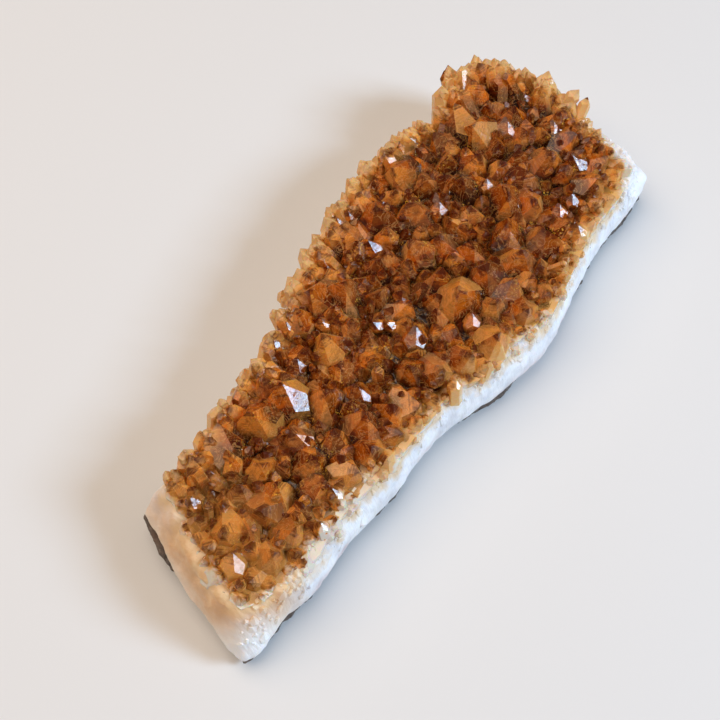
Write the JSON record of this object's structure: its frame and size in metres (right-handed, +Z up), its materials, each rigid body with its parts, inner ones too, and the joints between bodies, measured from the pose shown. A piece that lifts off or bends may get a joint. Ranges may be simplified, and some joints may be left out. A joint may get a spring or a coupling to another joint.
{
  "type": "citrine cluster",
  "caption": "Geode slab lying with its crystals up: pointed citrine crystals on a white quartz base over a dark basalt rind, tapering to one end.",
  "frame": {"origin": "middle of the flat patch under the rind that the slab rests on", "axes": "+X along the slab from its narrow broken end to its wide end, +Z up through the crystals, +Y to the side where the crystals hang over the edge; the white quartz shows along the -Y side"},
  "size_m": [0.1736, 0.0661, 0.0251],
  "materials": {
    "citrine": "clear amber crystal with bright flat faces",
    "white_quartz": "milky, waxy where it broke and sugary beside the crystals",
    "basalt": "rough and matt"
  },
  "bodies": {
    "root": {"citrine_crystals": "citrine", "white_quartz_base": "white_quartz", "basalt_rind": "basalt"}
  },
  "joints": []
}
